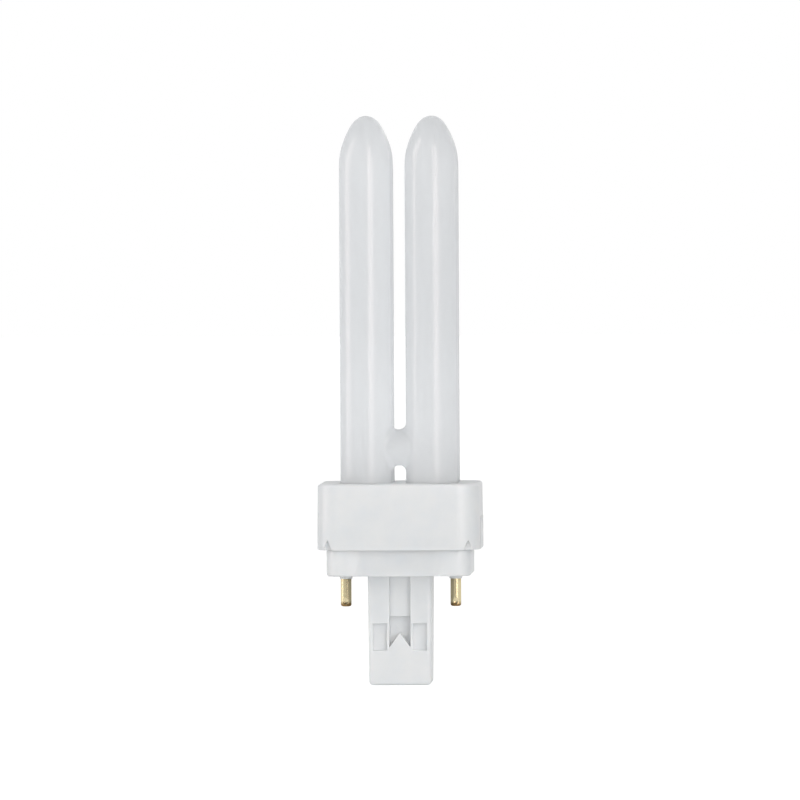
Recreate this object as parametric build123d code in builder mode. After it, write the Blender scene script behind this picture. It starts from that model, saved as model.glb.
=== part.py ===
from build123d import *
import math
import os

os.makedirs("parts", exist_ok=True)

# Plug-in compact fluorescent lamp: two U tubes of coated glass joined by one short bridge,
# cemented in a two-pin cap. Millimetres, +Z up. The key post stands on Z = 0, and the bridge
# joins the two front legs, which are on the -Y side.

# Whole lamp, from the end of the key post upwards
POST_LENGTH = 23.0
PLUG_STEP = 5.5
COLLAR_HEIGHT = 13.8
GLASS_HEIGHT = 76.7

# Glass
TUBE_DIAMETER = 10.8
TUBE_PITCH = 13.7
CROWN_WIDTH = 7.9
CROWN_TAPER = 4
CROWN_SECTIONS = 13
BRIDGE_DIAMETER = 7.6
BRIDGE_ABOVE_COLLAR = 7.45
BRIDGE_FILLET = 1.35
BRIDGE_STRAIGHT = 0.2
LEG_END_ROUND = 4.2
EXHAUST_TIP_DIAMETER = 3.2
EXHAUST_TIP_LENGTH = 2.4
SEAL_THICKNESS = 3.2
SEAL_SLOPE = 4.0
SEAL_BLADE = 2.6
SEAL_BELOW_LEG = 4.0
SEAL_ABOVE_FLOOR = 4.5

# Collar, the upper moulding of the cap
COLLAR_MARGIN = 4.7
COLLAR_CORNER = 5.0
COLLAR_DRAFT = 0.5
COLLAR_WALL = 1.7
COLLAR_TOP_PLATE = 1.6
COLLAR_EDGE_ROUND = 0.7
COLLAR_LEDGE = 0.6
LEG_CLEARANCE = 0.25
NOTCH_WIDTH = 1.9
NOTCH_HEIGHT = 2.1
NOTCH_INSET = 2.3
NOTCH_REACH = 1.8
TONGUE_WIDTH = 16.0
TONGUE_HEIGHT = 6.7
TONGUE_RELIEF = 0.15

# Plug body, the lower moulding of the cap
PLUG_CLEARANCE = 0.2
PLUG_SKIRT = 5.0
PLUG_WALL = 1.5
PLUG_FLOOR = 2.0
PLUG_EDGE_ROUND = 0.5
RECESS_WIDTH = 18.0
RECESS_HEIGHT = 7.0
RECESS_DEPTH = 0.8
RECESS_SLOPE = 25

# Key post, with the same latch on its front and its back
POST_WIDTH = 13.4
POST_CORNER = 0.8
POST_DRAFT = 0.5
POST_END_ROUND = 0.9
POST_WALL = 1.6
CHANNEL_WIDTH = 4.4
CHANNEL_DEPTH = 1.45
CHANNEL_LENGTH = 9.1
LATCH_DEPTH = 2.9
LATCH_WALL = 1.1
LATCH_TOP = 8.6
LATCH_HEIGHT = 6.4
WEDGE_HEIGHT = 3.0
SIDE_POCKET_WIDTH = 2.95
SIDE_POCKET_HEIGHT = 5.6
SIDE_POCKET_DEPTH = 1.2
SIDE_POCKET_OFFSET = 4.15
SIDE_POCKET_BELOW_SEAT = 12.85

# Contact pins
PIN_SPACING = 23.0
PIN_DIAMETER = 2.3
PIN_PROJECTION = 6.7
PIN_BORE = 1.1
PIN_SHANK_DIAMETER = 1.9
PIN_TIP_ROUND = 0.5
PIN_FLANGE_DIAMETER = 3.6
PIN_FLANGE = 0.6
PIN_CLEARANCE = 0.03
BOSS_DIAMETER = 4.6
BOSS_HEIGHT = 1.0
CRIMP_DIAMETER = 0.9
CRIMP_DEPTH = 0.3
CRIMP_ABOVE_TIP = 1.0
PIN_FOOT_EDGE = 0.2
PIN_FOOT_HEIGHT = 0.9
PIN_FLANGE_ROOM = 0.05

# What the cap holds
CEMENT_CLEARANCE = 0.05
CEMENT_ABOVE_PLUG = 0.6
WIRE_DIAMETER = 0.5
WIRE_GAP = 0.05
SEAL_WIRE_SPACING = 3.0
CROSSING_BELOW_SEAL = 1.5
PIN_WIRE_ABOVE_TIP = 0.4
STARTER_DIAMETER = 6.4
STARTER_CLEARANCE = 0.1
BAY_CLEARANCE = 0.3
STARTER_BODY = 14.5
STARTER_END_ROUND = 2.4
STARTER_SEAL_WIDTH = 4.4
STARTER_SEAL_THICKNESS = 2.0
STARTER_SEAL_HEIGHT = 3.5
STARTER_LEAD_SPACING = 2.4
STARTER_LEAD_LENGTH = 6.5
SPLICE_LENGTH = 4.5
CAPACITOR_WIDTH = 7.5
CAPACITOR_LENGTH = 6.0
CAPACITOR_THICKNESS = 3.0
CAPACITOR_ROUND = 0.8
CAPACITOR_CLEARANCE = 0.1
CAPACITOR_LEAD_SPACING = 5.0
CAPACITOR_LEAD_RUN = 2.0

# Heights and sizes that follow from those above
SEAT_Z = POST_LENGTH
FLOOR_TOP_Z = SEAT_Z + PLUG_FLOOR
COLLAR_BOTTOM_Z = SEAT_Z + PLUG_STEP
LEDGE_Z = COLLAR_BOTTOM_Z + PLUG_SKIRT
COLLAR_TOP_Z = COLLAR_BOTTOM_Z + COLLAR_HEIGHT
PLATE_Z = COLLAR_TOP_Z - COLLAR_TOP_PLATE
TUBE_TOP_Z = COLLAR_TOP_Z + GLASS_HEIGHT
TUBE_RADIUS = TUBE_DIAMETER / 2
BEND_RADIUS = TUBE_PITCH / 2
BEND_START_Z = TUBE_TOP_Z - BEND_RADIUS - TUBE_RADIUS
BRIDGE_Z = COLLAR_TOP_Z + BRIDGE_ABOVE_COLLAR
SEAL_END_Z = FLOOR_TOP_Z + SEAL_ABOVE_FLOOR
LEG_END_Z = SEAL_END_Z + SEAL_BELOW_LEG
LEG_GAP = TUBE_PITCH - TUBE_DIAMETER
COLLAR_WIDTH = TUBE_PITCH + TUBE_DIAMETER + 2 * COLLAR_MARGIN
SKIRT_SPACE = COLLAR_WIDTH - 2 * COLLAR_WALL
CEMENT_SPACE = SKIRT_SPACE - 2 * COLLAR_LEDGE
PLUG_WIDTH = SKIRT_SPACE - 2 * PLUG_CLEARANCE
PLUG_CORNER = COLLAR_CORNER - COLLAR_WALL - PLUG_CLEARANCE
PLUG_SPACE = PLUG_WIDTH - 2 * PLUG_WALL
BAY_WIDTH = POST_WIDTH - 2 * POST_WALL
BAY_DEPTH = STARTER_DIAMETER + 2 * BAY_CLEARANCE
POST_DEPTH = BAY_DEPTH + 2 * (LATCH_WALL + LATCH_DEPTH)
PIN_X = PIN_SPACING / 2
PIN_TIP_Z = SEAT_Z - PIN_PROJECTION
PIN_SHOULDER_Z = SEAT_Z - PIN_FOOT_HEIGHT
BOSS_TOP_Z = FLOOR_TOP_Z + BOSS_HEIGHT
CEMENT_BOTTOM_Z = LEDGE_Z + CEMENT_ABOVE_PLUG
STARTER_TOP_Z = POST_WALL + STARTER_CLEARANCE + STARTER_BODY + STARTER_SEAL_HEIGHT


def bend_section(side, turn):
    """Plane across one U-bend, so many degrees round from its front leg, and its half width there."""
    angle = math.radians(turn)
    centre = (
        side * TUBE_PITCH / 2,
        -BEND_RADIUS * math.cos(angle),
        BEND_START_Z + BEND_RADIUS * math.sin(angle),
    )
    along = (0, math.sin(angle), math.cos(angle))
    narrowing = (TUBE_RADIUS - CROWN_WIDTH / 2) * math.sin(angle) ** CROWN_TAPER
    return Plane(origin=centre, x_dir=(1, 0, 0), z_dir=along), TUBE_RADIUS - narrowing


def make_pin(x):
    """Hollow contact pin at x: its shoulder is under the foot, its flange on the boss inside."""
    with BuildPart() as pin:
        with BuildSketch(Plane.XY.offset(PIN_TIP_Z)):
            with Locations((x, 0)):
                Circle(PIN_DIAMETER / 2)
        extrude(amount=PIN_SHOULDER_Z - PIN_TIP_Z)
        fillet(pin.edges().sort_by(Axis.Z)[0], PIN_TIP_ROUND)
        with BuildSketch(Plane.XY.offset(PIN_SHOULDER_Z)):
            with Locations((x, 0)):
                Circle(PIN_SHANK_DIAMETER / 2)
        extrude(amount=BOSS_TOP_Z - PIN_SHOULDER_Z)
        with BuildSketch(Plane.XY.offset(BOSS_TOP_Z)):
            with Locations((x, 0)):
                Circle(PIN_FLANGE_DIAMETER / 2)
        extrude(amount=PIN_FLANGE)
        with BuildSketch(Plane.XY.offset(PIN_TIP_Z)):
            with Locations((x, 0)):
                Circle(PIN_BORE / 2)
        extrude(amount=BOSS_TOP_Z + PIN_FLANGE - PIN_TIP_Z, mode=Mode.SUBTRACT)
        for side in (1, -1):
            with BuildSketch(Plane.XZ.offset(side * PIN_DIAMETER / 2)):
                with Locations((x, PIN_TIP_Z + CRIMP_ABOVE_TIP)):
                    Circle(CRIMP_DIAMETER / 2)
            extrude(amount=-side * CRIMP_DEPTH, mode=Mode.SUBTRACT)
    return pin.part


def make_wire(points):
    """Thin round wire along straight runs, bent sharply with a rounded outside at each corner."""
    with BuildPart() as wire:
        with BuildLine() as route:
            Polyline(*points)
        with BuildSketch(Plane(origin=route.line @ 0, z_dir=route.line % 0)):
            Circle(WIRE_DIAMETER / 2)
        sweep(path=route.line, transition=Transition.ROUND)
    return wire.part


# Discharge tube
with BuildPart() as discharge_tube:
    with BuildSketch(Plane.XY.offset(LEG_END_Z)):
        with Locations((-TUBE_PITCH / 2, -TUBE_PITCH / 2), (TUBE_PITCH / 2, -TUBE_PITCH / 2)):
            Circle(TUBE_RADIUS)
    extrude(amount=BEND_START_Z - LEG_END_Z)
    fillet(discharge_tube.edges().group_by(Axis.Z)[0], LEG_END_ROUND)

    # Exhaust tips under the two front legs
    with BuildSketch(Plane.XY.offset(LEG_END_Z - EXHAUST_TIP_LENGTH)):
        with Locations((-TUBE_PITCH / 2, -TUBE_PITCH / 2), (TUBE_PITCH / 2, -TUBE_PITCH / 2)):
            Circle(EXHAUST_TIP_DIAMETER / 2)
    extrude(amount=EXHAUST_TIP_LENGTH + LEG_END_ROUND)
    fillet(discharge_tube.edges().group_by(Axis.Z)[0], EXHAUST_TIP_DIAMETER / 3)

    # Back legs, pressed flat at their ends round the electrode wires
    with BuildSketch(Plane.XY.offset(SEAL_END_Z)):
        with Locations((-TUBE_PITCH / 2, TUBE_PITCH / 2), (TUBE_PITCH / 2, TUBE_PITCH / 2)):
            Circle(TUBE_RADIUS)
    extrude(amount=BEND_START_Z - SEAL_END_Z)
    for face in (1, -1):
        blade = TUBE_PITCH / 2 + face * SEAL_THICKNESS / 2
        outside = TUBE_PITCH / 2 + face * TUBE_RADIUS
        with BuildSketch(Plane.YZ):
            Polygon(
                (blade, SEAL_END_Z),
                (outside, SEAL_END_Z),
                (outside, SEAL_END_Z + SEAL_BLADE + SEAL_SLOPE),
                (blade, SEAL_END_Z + SEAL_BLADE),
                align=None,
            )
        extrude(amount=TUBE_PITCH, both=True, mode=Mode.SUBTRACT)

    # U-bends, drawn in to a narrow pointed crown
    for side in (-1, 1):
        for step in range(CROWN_SECTIONS):
            section_plane, half_width = bend_section(side, 180 * step / (CROWN_SECTIONS - 1))
            with BuildSketch(section_plane):
                Ellipse(half_width, TUBE_RADIUS)
        loft()

    # Bridge between the front legs, run out into each leg, with a flare no wider than the gap allows
    bridge_flare = min(BRIDGE_FILLET, (LEG_GAP - BRIDGE_STRAIGHT) / 2)
    with BuildSketch(Plane.YZ):
        with Locations((-TUBE_PITCH / 2, BRIDGE_Z)):
            Circle(BRIDGE_DIAMETER / 2)
    extrude(amount=TUBE_PITCH / 2, both=True)
    bridge_edges = (
        discharge_tube.edges()
        .filter_by(GeomType.LINE, reverse=True)
        .filter_by_position(Axis.Z, BRIDGE_Z - BRIDGE_DIAMETER, BRIDGE_Z + BRIDGE_DIAMETER)
    )
    fillet(bridge_edges, bridge_flare)
discharge_tube.part.label = "discharge_tube"

# Collar
with BuildPart() as collar:
    with BuildSketch(Plane.XY.offset(COLLAR_BOTTOM_Z)):
        RectangleRounded(COLLAR_WIDTH, COLLAR_WIDTH, COLLAR_CORNER)
    extrude(amount=COLLAR_HEIGHT, taper=COLLAR_DRAFT)
    fillet(collar.faces().sort_by(Axis.Z)[-1].edges(), COLLAR_EDGE_ROUND)

    # Snap tongues, a little proud of the left and right walls
    with BuildSketch(Plane.XY.offset(COLLAR_BOTTOM_Z)):
        Rectangle(COLLAR_WIDTH + 2 * TONGUE_RELIEF, TONGUE_WIDTH)
    extrude(amount=TONGUE_HEIGHT)

    # Room for the plug's skirt, then a ledge that sits on it, then room for the cement
    with BuildSketch(Plane.XY.offset(COLLAR_BOTTOM_Z)):
        RectangleRounded(SKIRT_SPACE, SKIRT_SPACE, COLLAR_CORNER - COLLAR_WALL)
    extrude(amount=PLUG_SKIRT, mode=Mode.SUBTRACT)
    with BuildSketch(Plane.XY.offset(LEDGE_Z)):
        RectangleRounded(CEMENT_SPACE, CEMENT_SPACE, COLLAR_CORNER - COLLAR_WALL - COLLAR_LEDGE)
    extrude(amount=PLATE_Z - LEDGE_Z, mode=Mode.SUBTRACT)

    # Four leg holes
    with BuildSketch(Plane.XY.offset(PLATE_Z)):
        with GridLocations(TUBE_PITCH, TUBE_PITCH, 2, 2):
            Circle(TUBE_RADIUS + LEG_CLEARANCE)
    extrude(amount=COLLAR_TOP_PLATE, mode=Mode.SUBTRACT)

    # V notches sunk in the wall at the four lower corners, beside the tongues
    for side in (1, -1):
        with BuildSketch(Plane.XZ.offset(side * COLLAR_WIDTH / 2)):
            with Locations(
                (NOTCH_INSET - COLLAR_WIDTH / 2, COLLAR_BOTTOM_Z),
                (COLLAR_WIDTH / 2 - NOTCH_INSET, COLLAR_BOTTOM_Z),
            ):
                Polygon((-NOTCH_WIDTH / 2, 0), (NOTCH_WIDTH / 2, 0), (0, NOTCH_HEIGHT), align=None)
        extrude(amount=-side * NOTCH_REACH, mode=Mode.SUBTRACT)
collar.part.label = "collar"

# Plug body
with BuildPart() as plug_body:
    with BuildSketch(Plane.XY.offset(SEAT_Z)):
        RectangleRounded(PLUG_WIDTH, PLUG_WIDTH, PLUG_CORNER)
    extrude(amount=LEDGE_Z - SEAT_Z)
    fillet(plug_body.faces().sort_by(Axis.Z)[0].edges(), PLUG_EDGE_ROUND)

    # Shallow recess with sloping sides in the middle of the front and back walls
    with BuildSketch(Plane.XY.offset(SEAT_Z)):
        with PolarLocations(PLUG_WIDTH / 2, 2, start_angle=90):
            Trapezoid(
                RECESS_WIDTH,
                RECESS_DEPTH,
                RECESS_SLOPE,
                rotation=90,
                align=(Align.CENTER, Align.MIN),
            )
    extrude(amount=RECESS_HEIGHT, mode=Mode.SUBTRACT)

    # Key post, with draft towards its end
    with BuildSketch(-Plane.XY.offset(SEAT_Z)):
        RectangleRounded(POST_WIDTH, POST_DEPTH, POST_CORNER)
    extrude(amount=POST_LENGTH, taper=POST_DRAFT)
    fillet(plug_body.faces().sort_by(Axis.Z)[0].edges(), POST_END_ROUND)

    # Hollow inside, and the starter's bay down the post
    with BuildSketch(Plane.XY.offset(FLOOR_TOP_Z)):
        RectangleRounded(PLUG_SPACE, PLUG_SPACE, PLUG_CORNER - PLUG_WALL)
    extrude(amount=LEDGE_Z - FLOOR_TOP_Z, mode=Mode.SUBTRACT)
    with BuildSketch(Plane.XY.offset(POST_WALL)):
        Rectangle(BAY_WIDTH, BAY_DEPTH)
    extrude(amount=FLOOR_TOP_Z - POST_WALL, mode=Mode.SUBTRACT)

    # For each pin: a boss inside with room for the flange, a foot below the seat, and a hole
    with BuildSketch(Plane.XY.offset(FLOOR_TOP_Z)):
        with Locations((-PIN_X, 0), (PIN_X, 0)):
            Circle(BOSS_DIAMETER / 2)
    extrude(amount=BOSS_HEIGHT)
    with BuildSketch(Plane.XY.offset(BOSS_TOP_Z)):
        with Locations((-PIN_X, 0), (PIN_X, 0)):
            Circle(PIN_FLANGE_DIAMETER / 2 + PIN_FLANGE_ROOM)
    extrude(amount=LEDGE_Z - BOSS_TOP_Z, mode=Mode.SUBTRACT)
    with BuildSketch(Plane.XY.offset(PIN_SHOULDER_Z)):
        with Locations((-PIN_X, 0), (PIN_X, 0)):
            Circle(PIN_DIAMETER / 2 + PIN_FOOT_EDGE)
    extrude(amount=PIN_FOOT_HEIGHT)
    with BuildSketch(Plane.XY.offset(PIN_SHOULDER_Z)):
        with Locations((-PIN_X, 0), (PIN_X, 0)):
            Circle(PIN_SHANK_DIAMETER / 2 + PIN_CLEARANCE)
    extrude(amount=BOSS_TOP_Z - PIN_SHOULDER_Z, mode=Mode.SUBTRACT)

    # Latch on both faces of the post: channel, catch pocket over a wedge, and side pockets
    for side in (1, -1):
        post_face = Plane.XZ.offset(side * POST_DEPTH / 2)
        with BuildSketch(post_face):
            with Locations((0, SEAT_Z)):
                Rectangle(CHANNEL_WIDTH, CHANNEL_LENGTH, align=(Align.CENTER, Align.MAX))
        extrude(amount=-side * CHANNEL_DEPTH, mode=Mode.SUBTRACT)
        with BuildSketch(post_face):
            with Locations((0, SEAT_Z - LATCH_TOP)):
                Polygon(
                    (-CHANNEL_WIDTH / 2, 0),
                    (CHANNEL_WIDTH / 2, 0),
                    (CHANNEL_WIDTH / 2, -LATCH_HEIGHT),
                    (0, WEDGE_HEIGHT - LATCH_HEIGHT),
                    (-CHANNEL_WIDTH / 2, -LATCH_HEIGHT),
                    align=None,
                )
        extrude(amount=-side * LATCH_DEPTH, mode=Mode.SUBTRACT)
        with BuildSketch(post_face):
            with Locations(
                (-SIDE_POCKET_OFFSET, SEAT_Z - SIDE_POCKET_BELOW_SEAT),
                (SIDE_POCKET_OFFSET, SEAT_Z - SIDE_POCKET_BELOW_SEAT),
            ):
                Rectangle(SIDE_POCKET_WIDTH, SIDE_POCKET_HEIGHT)
        extrude(amount=-side * SIDE_POCKET_DEPTH, mode=Mode.SUBTRACT)
plug_body.part.label = "plug_body"

# Basing cement round the four legs, under the collar's top plate
with BuildPart() as basing_cement:
    with BuildSketch(Plane.XY.offset(CEMENT_BOTTOM_Z)):
        RectangleRounded(
            CEMENT_SPACE - 2 * CEMENT_CLEARANCE,
            CEMENT_SPACE - 2 * CEMENT_CLEARANCE,
            COLLAR_CORNER - COLLAR_WALL - COLLAR_LEDGE - CEMENT_CLEARANCE,
        )
        with GridLocations(TUBE_PITCH, TUBE_PITCH, 2, 2):
            Circle(TUBE_RADIUS + CEMENT_CLEARANCE, mode=Mode.SUBTRACT)
    extrude(amount=PLATE_Z - CEMENT_BOTTOM_Z)
basing_cement.part.label = "basing_cement"

# Glow starter, a sealed glass bottle that stands in the post
with BuildPart() as glow_starter:
    with BuildSketch(Plane.XY.offset(POST_WALL + STARTER_CLEARANCE)):
        Circle(STARTER_DIAMETER / 2)
    extrude(amount=STARTER_BODY)
    fillet(glow_starter.edges().filter_by(GeomType.CIRCLE), STARTER_END_ROUND)
    with BuildSketch(Plane.XY.offset(STARTER_TOP_Z)):
        Rectangle(STARTER_SEAL_WIDTH, STARTER_SEAL_THICKNESS)
    extrude(amount=-STARTER_SEAL_HEIGHT - STARTER_END_ROUND)
glow_starter.part.label = "glow_starter"

# Capacitor, lying on the plug's floor in front of the post's bay
CAPACITOR_FRONT_Y = -PLUG_SPACE / 2 + CAPACITOR_CLEARANCE
CAPACITOR_BACK_Y = CAPACITOR_FRONT_Y + CAPACITOR_LENGTH
CAPACITOR_MIDDLE_Z = FLOOR_TOP_Z + CAPACITOR_CLEARANCE + CAPACITOR_THICKNESS / 2
with BuildPart() as capacitor:
    with BuildSketch(Plane.XZ.offset(-CAPACITOR_FRONT_Y)):
        with Locations((0, CAPACITOR_MIDDLE_Z)):
            Rectangle(CAPACITOR_WIDTH, CAPACITOR_THICKNESS)
    extrude(amount=-CAPACITOR_LENGTH)
    fillet(capacitor.edges().filter_by(Axis.Y), CAPACITOR_ROUND)
capacitor.part.label = "capacitor"

# Pins and wires, a left and a right of each
STARTER_LEAD_X = STARTER_LEAD_SPACING / 2
STARTER_LEAD_TOP_Z = STARTER_TOP_Z + STARTER_LEAD_LENGTH
CROSSING_Z = SEAL_END_Z - CROSSING_BELOW_SEAL
for name, side in (("left", -1), ("right", 1)):
    pin = make_pin(side * PIN_X)
    pin.label = "contact_pin_" + name
    export_step(pin, "parts/contact_pin_" + name + ".step")

    outer_x = side * (TUBE_PITCH / 2 + SEAL_WIRE_SPACING / 2)
    pin_lead = make_wire(
        [
            (outer_x, TUBE_PITCH / 2, SEAL_END_Z),
            (outer_x, TUBE_PITCH / 2, CROSSING_Z),
            (side * PIN_X, 0, CROSSING_Z),
            (side * PIN_X, 0, PIN_TIP_Z + PIN_WIRE_ABOVE_TIP),
        ]
    )
    pin_lead.label = "lead_wire_pin_" + name
    export_step(pin_lead, "parts/lead_wire_pin_" + name + ".step")

    inner_x = side * (TUBE_PITCH / 2 - SEAL_WIRE_SPACING / 2)
    splice_x = side * (STARTER_LEAD_X + WIRE_DIAMETER + WIRE_GAP)
    starter_feed = make_wire(
        [
            (inner_x, TUBE_PITCH / 2, SEAL_END_Z),
            (inner_x, TUBE_PITCH / 2, CROSSING_Z),
            (splice_x, 0, CROSSING_Z),
            (splice_x, 0, CROSSING_Z - SPLICE_LENGTH),
        ]
    )
    starter_feed.label = "lead_wire_starter_" + name
    export_step(starter_feed, "parts/lead_wire_starter_" + name + ".step")

    starter_lead = make_wire(
        [
            (side * STARTER_LEAD_X, 0, STARTER_TOP_Z),
            (side * STARTER_LEAD_X, 0, STARTER_LEAD_TOP_Z),
        ]
    )
    starter_lead.label = "starter_lead_" + name
    export_step(starter_lead, "parts/starter_lead_" + name + ".step")

    capacitor_x = side * CAPACITOR_LEAD_SPACING / 2
    join_y = -WIRE_DIAMETER - WIRE_GAP
    capacitor_lead = make_wire(
        [
            (capacitor_x, CAPACITOR_BACK_Y, CAPACITOR_MIDDLE_Z),
            (capacitor_x, CAPACITOR_BACK_Y + CAPACITOR_LEAD_RUN, CAPACITOR_MIDDLE_Z),
            (side * STARTER_LEAD_X, join_y, CAPACITOR_MIDDLE_Z),
            (side * STARTER_LEAD_X, join_y, STARTER_LEAD_TOP_Z - SPLICE_LENGTH),
        ]
    )
    capacitor_lead.label = "capacitor_lead_" + name
    export_step(capacitor_lead, "parts/capacitor_lead_" + name + ".step")

export_step(discharge_tube.part, "parts/discharge_tube.step")
export_step(collar.part, "parts/collar.step")
export_step(plug_body.part, "parts/plug_body.step")
export_step(basing_cement.part, "parts/basing_cement.step")
export_step(glow_starter.part, "parts/glow_starter.step")
export_step(capacitor.part, "parts/capacitor.step")
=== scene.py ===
import math

import bpy
from mathutils import Matrix, Vector


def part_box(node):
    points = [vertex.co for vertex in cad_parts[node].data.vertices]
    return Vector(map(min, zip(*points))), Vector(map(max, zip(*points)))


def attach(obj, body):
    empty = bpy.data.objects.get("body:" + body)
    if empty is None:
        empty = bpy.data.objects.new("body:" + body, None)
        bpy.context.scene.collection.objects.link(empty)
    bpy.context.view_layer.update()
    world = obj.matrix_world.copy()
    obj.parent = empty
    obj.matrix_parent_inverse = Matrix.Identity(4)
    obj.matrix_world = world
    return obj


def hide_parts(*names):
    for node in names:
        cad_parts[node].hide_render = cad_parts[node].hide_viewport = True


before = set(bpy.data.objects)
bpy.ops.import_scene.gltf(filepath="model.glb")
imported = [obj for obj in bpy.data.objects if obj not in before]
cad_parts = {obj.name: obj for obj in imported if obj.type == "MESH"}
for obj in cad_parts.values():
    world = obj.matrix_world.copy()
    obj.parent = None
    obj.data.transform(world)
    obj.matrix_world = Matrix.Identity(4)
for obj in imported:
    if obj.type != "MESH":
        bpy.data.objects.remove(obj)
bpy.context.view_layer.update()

MM = 0.001

# Camera: straight at the front from far away, a little to the right and a little above
PHOTO_SIDE = 800
PHOTO_PIXELS_PER_METRE = 4777
CAMERA_DISTANCE = 2.5
CAMERA_AZIMUTH = math.radians(2.2)
CAMERA_ELEVATION = math.radians(1.0)
CAMERA_ROLL = math.radians(-0.3)
CAMERA_AIM = Vector((0, 0, 59.5 * MM))
SENSOR_WIDTH = 36
CLIP_NEAR = 0.1
CLIP_FAR = 50

# Surroundings as a light, whose radiance falls towards a direction that is nearly straight up,
# and the floor, which glows only where it is seen
AMBIENT = 0.67
AMBIENT_DIM = 0.4
DIM_DIRECTION = (0.2, 0, 0.98)
FLOOR_SIZE = 12
FLOOR_GLOW = 0.65

# Soft boxes: azimuth from the front in degrees; distance from the lamp's axis, width, and heights
# of the lower and the upper edge in metres; and radiance, of which the white background has 1
SOFT_BOXES = {
    "key_soft_box": dict(azimuth=30, distance=0.8, width=0.5, bottom=0, top=0.5, radiance=2.2),
    "side_soft_box": dict(azimuth=-80, distance=0.8, width=0.5, bottom=0, top=0.5, radiance=1.7),
    "low_soft_box": dict(azimuth=0, distance=0.5, width=0.8, bottom=0, top=0.035, radiance=8.4),
}
# Strips that only glossy surfaces see: a gleam right of each tube's middle, and one at its left
STRIPS = {
    "gleam_strip": dict(azimuth=25, distance=0.7, width=0.3, bottom=0.03, top=1.2, radiance=6.8),
    "glint_strip": dict(azimuth=-83, distance=0.7, width=0.34, bottom=0.03, top=1.2, radiance=5.0),
}
STRIP_COLOUR = "#ffeeea"
# Upright cards that only glossy surfaces see, from the floor up. They give the gloss something
# darker to mirror than the white surroundings: the wide one everywhere, the small one on the pins
CARDS = {
    "wide_card": dict(left=-0.41, right=0.085, forward=0.4, top=0.6),
    "pin_card": dict(left=0.001, right=0.027, forward=0.06, top=0.035),
}
CARD_GREY = 0.6

# Glass: the coating's pattern, the part of the light that it passes, and the waves in the tube
COATING_PATCH = 5 * MM
COATING_UNEVEN = 0.3
COATING_PASSES = 0.62
COATING_DEPTH = 3 * MM
# Painted light: the coating is whitest low down, in the shade of the collar, greyest near the top
FILL_FULL_BELOW = 42 * MM
FILL_GONE_ABOVE = 76 * MM
WAVE_WIDTH = 3 * MM
WAVE_HEIGHT = 0.02 * MM
WAVE_STRETCH = (1, 1, 0.12)  # eight times as long as wide

# Cap
EDGE_ROUND = 0.14 * MM
EDGE_ROUND_STEPS = 2
FILLER_PATCH = 5 * MM
GRAIN_WIDTH = 0.35 * MM
GRAIN_HEIGHT = 0.02 * MM
PLASTIC_DEPTH = 1.5 * MM

# Contact pins: darkening below the cap's seat and at the tip, and lines that the drawing die
# leaves
SEAT_HEIGHT = 23 * MM
TIP_DARKENING = 1.3 * MM
ROOT_DARKENING = 3.0 * MM
ROOT_DARKENING_STRENGTH = 0.35
DARKENING_PATCH = 1.1 * MM
DARKENING_STARTS = 0.08
DARKENING_FULL = 0.36
DIE_LINE_WIDTH = 0.25 * MM
DIE_LINE_DEPTH = 0.01 * MM
DIE_LINE_STRETCH = (1, 1, 0.05)  # twenty times as long as wide

# Contact pins: shape
PIN_SIDES = 64
PIN_RADIUS = 1.15 * MM
PIN_SHANK_RADIUS = 0.95 * MM
PIN_BORE_RADIUS = 0.55 * MM
PIN_FLANGE = 0.6 * MM
PIN_SHANK = 3.9 * MM
PIN_TIP_ROUND = 0.5 * MM
PIN_TIP_STEPS = 6
PIN_RING_SPACING = 0.25 * MM
CRIMP_ABOVE_TIP = 1.0 * MM
CRIMP_DEPTH = 0.3 * MM
CRIMP_REACH = 0.7 * MM

# Pieces held inside: their patterns
CEMENT_PORE = 0.6 * MM
CEMENT_PORE_DEPTH = 0.08 * MM
SMOKE_PATCH = 3 * MM
RESIN_MOTTLE = 1.5 * MM
WIRE_SHEEN = 0.4 * MM

# Meshes
MERGE_DISTANCE = 0.001 * MM
FLAT_ANGLE = math.radians(0.4)
SHARP_ANGLE = math.radians(28)

# Mix nodes in colour mode: the inputs and the output by number
MIX_FACTOR, MIX_A, MIX_B, MIX_RESULT = 0, 6, 7, 2


def linear(hex_colour):
    """An sRGB hex colour as the linear values that a shader takes."""
    channels = [int(hex_colour[i:i + 2], 16) / 255 for i in (1, 3, 5)]
    return [c / 12.92 if c <= 0.04045 else ((c + 0.055) / 1.055) ** 2.4 for c in channels] + [1.0]


def add(tree, kind, inputs=None, **settings):
    """Adds a shader node with its settings; an input is a value, or the socket that feeds it."""
    node = tree.nodes.new("ShaderNode" + kind)
    for name, value in settings.items():
        setattr(node, name, value)
    for name, value in (inputs or {}).items():
        if isinstance(value, bpy.types.NodeSocket):
            tree.links.new(value, node.inputs[name])
        else:
            node.inputs[name].default_value = value
    return node


def new_material(name):
    """An empty node material, with its node tree."""
    material = bpy.data.materials.new(name)
    material.use_nodes = True
    material.node_tree.nodes.clear()
    return material, material.node_tree


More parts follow.
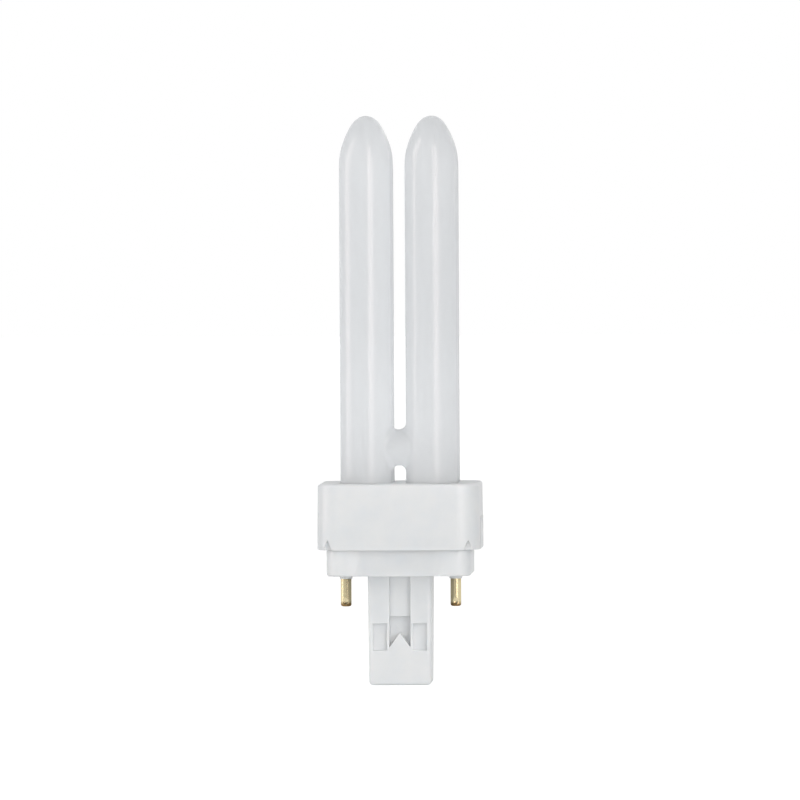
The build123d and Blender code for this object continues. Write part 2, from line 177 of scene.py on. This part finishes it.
def coated_glass():
    """Drawn soda-lime tube, coated inside with phosphor powder: a hard gloss over milky white."""
    material, tree = new_material("Phosphor-coated glass")
    place = add(tree, "TexCoord").outputs["Object"]
    # Painted light: the coating is whiter near the cap, where the collar and the other legs shade
    # the tube, and greyer towards the crown, where more light falls. The powder also settles a
    # little unevenly, in soft patches a few millimetres across
    height = add(tree, "SeparateXYZ", {"Vector": place}).outputs["Z"]
    painted_fill = add(
        tree,
        "MapRange",
        {
            "Value": height,
            "From Min": FILL_FULL_BELOW,
            "From Max": FILL_GONE_ABOVE,
            "To Min": 1 - COATING_UNEVEN / 2,
            "To Max": -COATING_UNEVEN / 2,
        },
    )
    patches = add(tree, "TexNoise", {"Vector": place, "Scale": 1 / COATING_PATCH, "Detail": 3})
    patches_and_painted_fill = add(
        tree,
        "Math",
        {0: patches.outputs[0], 1: COATING_UNEVEN, 2: painted_fill.outputs[0]},
        operation="MULTIPLY_ADD",
    )
    white = add(
        tree,
        "Mix",
        {MIX_FACTOR: patches_and_painted_fill.outputs[0], MIX_A: linear("#ebeced"), MIX_B: linear("#f4f5f6")},
        data_type="RGBA",
    )
    # Drawing leaves long shallow waves along each leg, which waver the reflections
    along = add(tree, "Mapping", {"Vector": place, "Scale": WAVE_STRETCH})
    waves = add(
        tree, "TexNoise", {"Vector": along.outputs[0], "Scale": 1 / WAVE_WIDTH, "Detail": 1}
    )
    drawn = add(
        tree, "Bump", {"Height": waves.outputs[0], "Strength": 0.5, "Distance": WAVE_HEIGHT}
    )
    gloss = add(
        tree,
        "BsdfPrincipled",
        {
            "Base Color": white.outputs[MIX_RESULT],
            "Roughness": 0.15,
            "IOR": 1.52,
            "Subsurface Weight": 0.6,
            "Subsurface Radius": (1.0, 1.0, 1.0),
            "Subsurface Scale": COATING_DEPTH,
            "Normal": drawn.outputs[0],
        },
    )
    # Part of the light passes the powder and spreads in the tube before it comes out again
    through = add(tree, "BsdfTranslucent", {"Color": white.outputs[MIX_RESULT]})
    shader = add(
        tree, "MixShader", {0: COATING_PASSES, 1: gloss.outputs[0], 2: through.outputs[0]}
    )
    add(tree, "OutputMaterial", {"Surface": shader.outputs[0]})
    return material


def cap_plastic():
    """White PBT polyester, moulded in a spark-eroded tool: opaque, satin and faintly grained."""
    material, tree = new_material("Moulded white PBT")
    place = add(tree, "TexCoord").outputs["Object"]
    # Broad, barely seen patches, cooler where the filler is denser and warmer where it is thinner
    filler = add(tree, "TexNoise", {"Vector": place, "Scale": 1 / FILLER_PATCH, "Detail": 4})
    white = add(
        tree,
        "Mix",
        {MIX_FACTOR: filler.outputs[0], MIX_A: linear("#d7dbde"), MIX_B: linear("#e6e6e5")},
        data_type="RGBA",
    )
    # The real grain is finer than the picture shows, so it is drawn a third of a millimetre wide
    grain = add(tree, "TexNoise", {"Vector": place, "Scale": 1 / GRAIN_WIDTH, "Detail": 2})
    texture = add(
        tree, "Bump", {"Height": grain.outputs[0], "Strength": 0.35, "Distance": GRAIN_HEIGHT}
    )
    shader = add(
        tree,
        "BsdfPrincipled",
        {
            "Base Color": white.outputs[MIX_RESULT],
            "Roughness": 0.42,
            "IOR": 1.55,
            "Subsurface Weight": 0.6,
            "Subsurface Radius": (1.0, 0.95, 0.9),
            "Subsurface Scale": PLASTIC_DEPTH,
            "Normal": texture.outputs[0],
        },
    )
    add(tree, "OutputMaterial", {"Surface": shader.outputs[0]})
    return material


def drawn_brass():
    """Drawn brass tube, dulled by handling, coloured darker at its root and crimped tip."""
    material, tree = new_material("Drawn brass")
    place = add(tree, "TexCoord").outputs["Object"]
    height = add(tree, "SeparateXYZ", {"Vector": place}).outputs["Z"]
    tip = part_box("contact_pin_left")[0].z
    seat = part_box("plug_body")[0].z + SEAT_HEIGHT
    # Darker colour near the tip and, more weakly, just below the seat, in patches
    at_tip = add(
        tree, "MapRange", {"Value": height, "From Min": tip + TIP_DARKENING, "From Max": tip}
    )
    at_root = add(
        tree,
        "MapRange",
        {
            "Value": height,
            "From Min": seat - ROOT_DARKENING,
            "From Max": seat,
            "To Max": ROOT_DARKENING_STRENGTH,
        },
    )
    ends = add(tree, "Math", {0: at_tip.outputs[0], 1: at_root.outputs[0]}, operation="MAXIMUM")
    patches = add(tree, "TexNoise", {"Vector": place, "Scale": 1 / DARKENING_PATCH, "Detail": 4})
    patchy = add(tree, "Math", {0: ends.outputs[0], 1: patches.outputs[0]}, operation="MULTIPLY")
    darkening_mask = add(
        tree,
        "MapRange",
        {"Value": patchy.outputs[0], "From Min": DARKENING_STARTS, "From Max": DARKENING_FULL},
    )
    colour = add(
        tree,
        "Mix",
        {MIX_FACTOR: darkening_mask.outputs[0], MIX_A: linear("#c9bd9a"), MIX_B: linear("#7d6540")},
        data_type="RGBA",
    )
    # Die lines run along the pin. They are far finer in truth, and are drawn a quarter of a
    # millimetre wide so that they show
    along = add(tree, "Mapping", {"Vector": place, "Scale": DIE_LINE_STRETCH})
    lines = add(
        tree, "TexNoise", {"Vector": along.outputs[0], "Scale": 1 / DIE_LINE_WIDTH, "Detail": 3}
    )
    drawn = add(
        tree, "Bump", {"Height": lines.outputs[0], "Strength": 0.4, "Distance": DIE_LINE_DEPTH}
    )
    shader = add(
        tree,
        "BsdfPrincipled",
        {
            "Base Color": colour.outputs[MIX_RESULT],
            "Metallic": 1.0,
            "Roughness": 0.24,
            "Normal": drawn.outputs[0],
        },
    )
    add(tree, "OutputMaterial", {"Surface": shader.outputs[0]})
    return material


def basing_cement():
    """Cast basing cement: chalky, off-white, with fine pores."""
    material, tree = new_material("Basing cement")
    place = add(tree, "TexCoord").outputs["Object"]
    # Painted shade: each pore is coloured darker towards its bottom, where it sinks deepest
    pores = add(tree, "TexVoronoi", {"Vector": place, "Scale": 1 / CEMENT_PORE})
    distance = pores.outputs["Distance"]
    grey = add(
        tree,
        "Mix",
        {MIX_FACTOR: distance, MIX_A: linear("#a9a498"), MIX_B: linear("#d5d0c4")},
        data_type="RGBA",
    )
    pitted = add(tree, "Bump", {"Height": distance, "Distance": CEMENT_PORE_DEPTH})
    shader = add(
        tree,
        "BsdfPrincipled",
        {"Base Color": grey.outputs[MIX_RESULT], "Roughness": 0.95, "Normal": pitted.outputs[0]},
    )
    add(tree, "OutputMaterial", {"Surface": shader.outputs[0]})
    return material


def starter_glass():
    """Clear soda-lime glass of the glow starter's little bottle, slightly smoked inside."""
    material, tree = new_material("Clear starter glass")
    place = add(tree, "TexCoord").outputs["Object"]
    smoke = add(tree, "TexNoise", {"Vector": place, "Scale": 1 / SMOKE_PATCH, "Detail": 2})
    tint = add(
        tree,
        "Mix",
        {MIX_FACTOR: smoke.outputs[0], MIX_A: linear("#c9d0cf"), MIX_B: linear("#eef2f1")},
        data_type="RGBA",
    )
    shader = add(
        tree,
        "BsdfPrincipled",
        {
            "Base Color": tint.outputs[MIX_RESULT],
            "Roughness": 0.03,
            "IOR": 1.52,
            "Transmission Weight": 0.9,
        },
    )
    add(tree, "OutputMaterial", {"Surface": shader.outputs[0]})
    return material


def capacitor_resin():
    """Dipped epoxy coat of a small film capacitor: glossy red-brown, a little mottled."""
    material, tree = new_material("Capacitor epoxy")
    place = add(tree, "TexCoord").outputs["Object"]
    mottle = add(tree, "TexNoise", {"Vector": place, "Scale": 1 / RESIN_MOTTLE, "Detail": 3})
    brown = add(
        tree,
        "Mix",
        {MIX_FACTOR: mottle.outputs[0], MIX_A: linear("#7c3018"), MIX_B: linear("#94421f")},
        data_type="RGBA",
    )
    shader = add(
        tree,
        "BsdfPrincipled",
        {"Base Color": brown.outputs[MIX_RESULT], "Roughness": 0.22, "IOR": 1.55},
    )
    add(tree, "OutputMaterial", {"Surface": shader.outputs[0]})
    return material


def plated_wire():
    """Nickel-plated iron wire, drawn: grey metal with a soft, slightly uneven sheen."""
    material, tree = new_material("Nickel-plated wire")
    place = add(tree, "TexCoord").outputs["Object"]
    sheen = add(tree, "TexNoise", {"Vector": place, "Scale": 1 / WIRE_SHEEN, "Detail": 2})
    grey = add(
        tree,
        "Mix",
        {MIX_FACTOR: sheen.outputs[0], MIX_A: linear("#a29d95"), MIX_B: linear("#c4c0b8")},
        data_type="RGBA",
    )
    shader = add(
        tree,
        "BsdfPrincipled",
        {"Base Color": grey.outputs[MIX_RESULT], "Metallic": 1.0, "Roughness": 0.35},
    )
    add(tree, "OutputMaterial", {"Surface": shader.outputs[0]})
    return material


def select_only(piece):
    """Leaves one object selected and active."""
    bpy.ops.object.select_all(action="DESELECT")
    piece.select_set(True)
    bpy.context.view_layer.objects.active = piece


def paint(piece, material):
    """Gives a piece one material all over."""
    piece.data.materials.clear()
    piece.data.materials.append(material)


def moulded_copy(node, name):
    """A merged copy of a moulded piece, its sharp edges rounded as a worn tool leaves them."""
    piece = bpy.data.objects.new(name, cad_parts[node].data.copy())
    bpy.context.scene.collection.objects.link(piece)
    select_only(piece)
    bpy.ops.mesh.customdata_custom_splitnormals_clear()
    bpy.ops.object.mode_set(mode="EDIT")
    bpy.ops.mesh.select_all(action="SELECT")
    bpy.ops.mesh.remove_doubles(threshold=MERGE_DISTANCE)
    bpy.ops.mesh.dissolve_limited(angle_limit=FLAT_ANGLE)
    bpy.ops.object.mode_set(mode="OBJECT")
    rounding = piece.modifiers.new("Edge rounding", "BEVEL")
    rounding.width = EDGE_ROUND
    rounding.segments = EDGE_ROUND_STEPS
    rounding.limit_method = "ANGLE"
    rounding.angle_limit = SHARP_ANGLE
    rounding.use_clamp_overlap = False
    bpy.ops.object.modifier_apply(modifier=rounding.name)
    bpy.ops.object.shade_smooth_by_angle(angle=SHARP_ANGLE)
    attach(piece, "root")
    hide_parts(node)
    return piece


def nudge(piece, spot, move, reach):
    """Moves the point of a piece nearest a spot, and softly all that lies within reach of it."""
    nearest = min(piece.data.vertices, key=lambda point: (point.co - spot).length)
    for element in (*piece.data.vertices, *piece.data.edges, *piece.data.polygons):
        element.select = False
    nearest.select = True
    bpy.ops.object.mode_set(mode="EDIT")
    bpy.ops.mesh.select_mode(type="VERT")
    bpy.ops.transform.translate(
        value=move,
        use_proportional_edit=True,
        proportional_edit_falloff="SMOOTH",
        proportional_size=reach,
    )
    bpy.ops.object.mode_set(mode="OBJECT")


def evenly(start, end, count):
    """Values that go from a start, which is left out, to an end in even steps."""
    return [start + (end - start) * step / count for step in range(1, count + 1)]


def pin_rings(flange_radius, tip, top):
    """Radius and height of each ring of a pin, from the edge of its bore at the top: over the
    flange, down the wall, round the tip and up the bore."""
    underside = top - PIN_FLANGE
    shoulder = underside - PIN_SHANK
    round_top = tip + PIN_TIP_ROUND
    rings = [
        (flange_radius, top),
        (flange_radius, underside),
        (PIN_SHANK_RADIUS, underside),
        (PIN_SHANK_RADIUS, shoulder),
        (PIN_RADIUS, shoulder),
    ]
    wall = evenly(shoulder, round_top, round((shoulder - round_top) / PIN_RING_SPACING))
    rings += [(PIN_RADIUS, height) for height in wall]
    for turn in evenly(0, math.pi / 2, PIN_TIP_STEPS):
        inwards = PIN_TIP_ROUND * (1 - math.cos(turn))
        rings.append((PIN_RADIUS - inwards, round_top - PIN_TIP_ROUND * math.sin(turn)))
    rings.append((PIN_BORE_RADIUS, tip))
    rings += [(PIN_BORE_RADIUS, height) for height in evenly(tip, top, len(wall))]
    return rings


def contact_pin(node, name):
    """Drawn brass pin with an open bore, punched in at the front and back to grip its wire."""
    low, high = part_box(node)
    axis = (low + high) / 2
    radius, height = PIN_BORE_RADIUS, high.z
    bpy.ops.object.select_all(action="DESELECT")
    bpy.ops.mesh.primitive_circle_add(
        vertices=PIN_SIDES, radius=radius, fill_type="NOTHING", location=(axis.x, axis.y, height)
    )
    piece = bpy.context.object
    piece.name = name
    bpy.ops.object.transform_apply(location=True, rotation=True, scale=True)
    bpy.ops.object.mode_set(mode="EDIT")
    bpy.ops.mesh.select_all(action="SELECT")
    for new_radius, new_height in pin_rings((high.x - low.x) / 2, low.z, high.z):
        rise = (0, 0, new_height - height)
        bpy.ops.mesh.extrude_region_move(TRANSFORM_OT_translate={"value": rise})
        growth = new_radius / radius
        centre = (axis.x, axis.y, new_height)
        bpy.ops.transform.resize(value=(growth, growth, 1), center_override=centre)
        radius, height = new_radius, new_height
    bpy.ops.mesh.select_all(action="SELECT")
    bpy.ops.mesh.remove_doubles(threshold=MERGE_DISTANCE)
    bpy.ops.mesh.normals_make_consistent(inside=False)
    bpy.ops.object.mode_set(mode="OBJECT")
    for side in (-1, 1):
        spot = Vector((axis.x, axis.y + side * PIN_RADIUS, low.z + CRIMP_ABOVE_TIP))
        nudge(piece, spot, (0, -side * CRIMP_DEPTH, 0), CRIMP_REACH)
    bpy.ops.object.shade_smooth_by_angle(angle=SHARP_ANGLE)
    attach(piece, "root")
    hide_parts(node)
    return piece


# New pieces for the cap and the pins, and a material for every carried-over piece
plastic = cap_plastic()
for node, name in (("collar", "collar_moulding"), ("plug_body", "plug_moulding")):
    paint(moulded_copy(node, name), plastic)

FINISHES = {
    "discharge_tube": coated_glass(),
    "basing_cement": basing_cement(),
    "glow_starter": starter_glass(),
    "capacitor": capacitor_resin(),
}
brass = drawn_brass()
for side in ("left", "right"):
    paint(contact_pin("contact_pin_" + side, side + "_pin"), brass)
wire = plated_wire()
for name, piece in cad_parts.items():
    if name in FINISHES:
        paint(piece, FINISHES[name])
    elif name.startswith("contact_pin"):
        paint(piece, brass)
    elif "lead" in name:
        paint(piece, wire)
    else:
        paint(piece, plastic)


def aimed(location, target, roll=0.0):
    """Rotation that looks from a place at a target, turned about that line."""
    look = (Vector(target) - Vector(location)).to_track_quat("-Z", "Y").to_matrix()
    return (look @ Matrix.Rotation(roll, 3, "Z")).to_euler()


def around(azimuth, elevation, distance, centre):
    """Point at a distance from a centre, seen at an azimuth from the front and an elevation."""
    return centre + distance * Vector(
        (
            math.sin(azimuth) * math.cos(elevation),
            -math.cos(azimuth) * math.cos(elevation),
            math.sin(elevation),
        )
    )


def soft_box(name, azimuth, distance, width, bottom, top, radiance, colour="#ffffff"):
    """Upright soft box that faces the lamp, from one height to another, unseen in reflections."""
    centre = Vector((0, 0, (bottom + top) / 2))
    place = around(math.radians(azimuth), 0, distance, centre)
    bpy.ops.object.light_add(type="AREA", location=place, rotation=aimed(place, centre))
    box = bpy.context.object
    box.name = name
    box.visible_camera = False
    box.visible_glossy = False
    box.data.shape = "RECTANGLE"
    box.data.size = width
    box.data.size_y = top - bottom
    box.data.color = linear(colour)[:3]
    box.data.energy = radiance * math.pi * width * (top - bottom)
    return box


bpy.ops.object.select_all(action="DESELECT")
for name, settings in SOFT_BOXES.items():
    soft_box(name, **settings)
for name, settings in STRIPS.items():
    strip = soft_box(name, colour=STRIP_COLOUR, **settings)
    strip.visible_glossy = True
    strip.visible_diffuse = False
    strip.visible_transmission = False


def card(name, left, right, forward, top):
    """Upright grey card in front of the lamp, which only glossy surfaces see."""
    bpy.ops.mesh.primitive_plane_add(
        size=1,
        location=((left + right) / 2, -forward, top / 2),
        rotation=(math.radians(90), 0, 0),
    )
    piece = bpy.context.object
    piece.name = name
    piece.scale = (right - left, top, 1)
    bpy.ops.object.transform_apply(location=True, rotation=True, scale=True)
    piece.visible_camera = False
    piece.visible_diffuse = False
    piece.visible_transmission = False
    piece.visible_shadow = False
    grey, tree = new_material("Grey card")
    glow = add(tree, "Emission", {"Strength": CARD_GREY})
    add(tree, "OutputMaterial", {"Surface": glow.outputs[0]})
    paint(piece, grey)


for name, settings in CARDS.items():
    card(name, **settings)

# Camera
camera_place = around(CAMERA_AZIMUTH, CAMERA_ELEVATION, CAMERA_DISTANCE, CAMERA_AIM)
bpy.ops.object.camera_add(
    location=camera_place, rotation=aimed(camera_place, CAMERA_AIM, CAMERA_ROLL)
)
camera = bpy.context.object
camera.data.sensor_width = SENSOR_WIDTH
camera.data.lens = SENSOR_WIDTH * CAMERA_DISTANCE * PHOTO_PIXELS_PER_METRE / PHOTO_SIDE
camera.data.clip_start = CLIP_NEAR
camera.data.clip_end = CLIP_FAR
bpy.context.scene.camera = camera


def seen_directly(tree):
    """1 for camera, glossy and transmission rays, which see the white background, else 0."""
    ray = add(tree, "LightPath")
    mirrored = add(
        tree,
        "Math",
        {0: ray.outputs["Is Glossy Ray"], 1: ray.outputs["Is Transmission Ray"]},
        operation="MAXIMUM",
    )
    seen = add(
        tree,
        "Math",
        {0: ray.outputs["Is Camera Ray"], 1: mirrored.outputs[0]},
        operation="MAXIMUM",
    )
    return seen.outputs[0]


# White surroundings, dimmer where they only light the lamp
world = bpy.data.worlds.new("White surroundings")
bpy.context.scene.world = world
world.use_nodes = True
tree = world.node_tree
tree.nodes.clear()
direction = add(tree, "TexCoord").outputs["Generated"]
upwards = add(tree, "VectorMath", {0: direction, 1: DIM_DIRECTION}, operation="DOT_PRODUCT")
lighting = add(
    tree,
    "MapRange",
    {"Value": upwards.outputs["Value"], "To Min": AMBIENT, "To Max": AMBIENT_DIM},
)
strength = add(
    tree,
    "MapRange",
    {"Value": seen_directly(tree), "To Min": lighting.outputs[0], "To Max": 1.0},
)
sky = add(tree, "Background", {"Color": linear("#ffffff"), "Strength": strength.outputs[0]})
add(tree, "OutputWorld", {"Surface": sky.outputs[0]})

# Pale floor, which keeps the lamp's soft shadow
bpy.ops.mesh.primitive_plane_add(size=FLOOR_SIZE, location=(0, 0, 0))
floor = bpy.context.object
floor.name = "floor"
floor_paint, tree = new_material("White studio floor")
matt = add(tree, "BsdfDiffuse", {"Color": linear("#f2f2f2")})
glow = add(tree, "Emission", {"Color": linear("#ffffff"), "Strength": FLOOR_GLOW})
both = add(tree, "AddShader", {0: matt.outputs[0], 1: glow.outputs[0]})
shown = add(tree, "MixShader", {0: seen_directly(tree), 1: matt.outputs[0], 2: both.outputs[0]})
add(tree, "OutputMaterial", {"Surface": shown.outputs[0]})
paint(floor, floor_paint)

bpy.context.scene.view_settings.view_transform = "Standard"
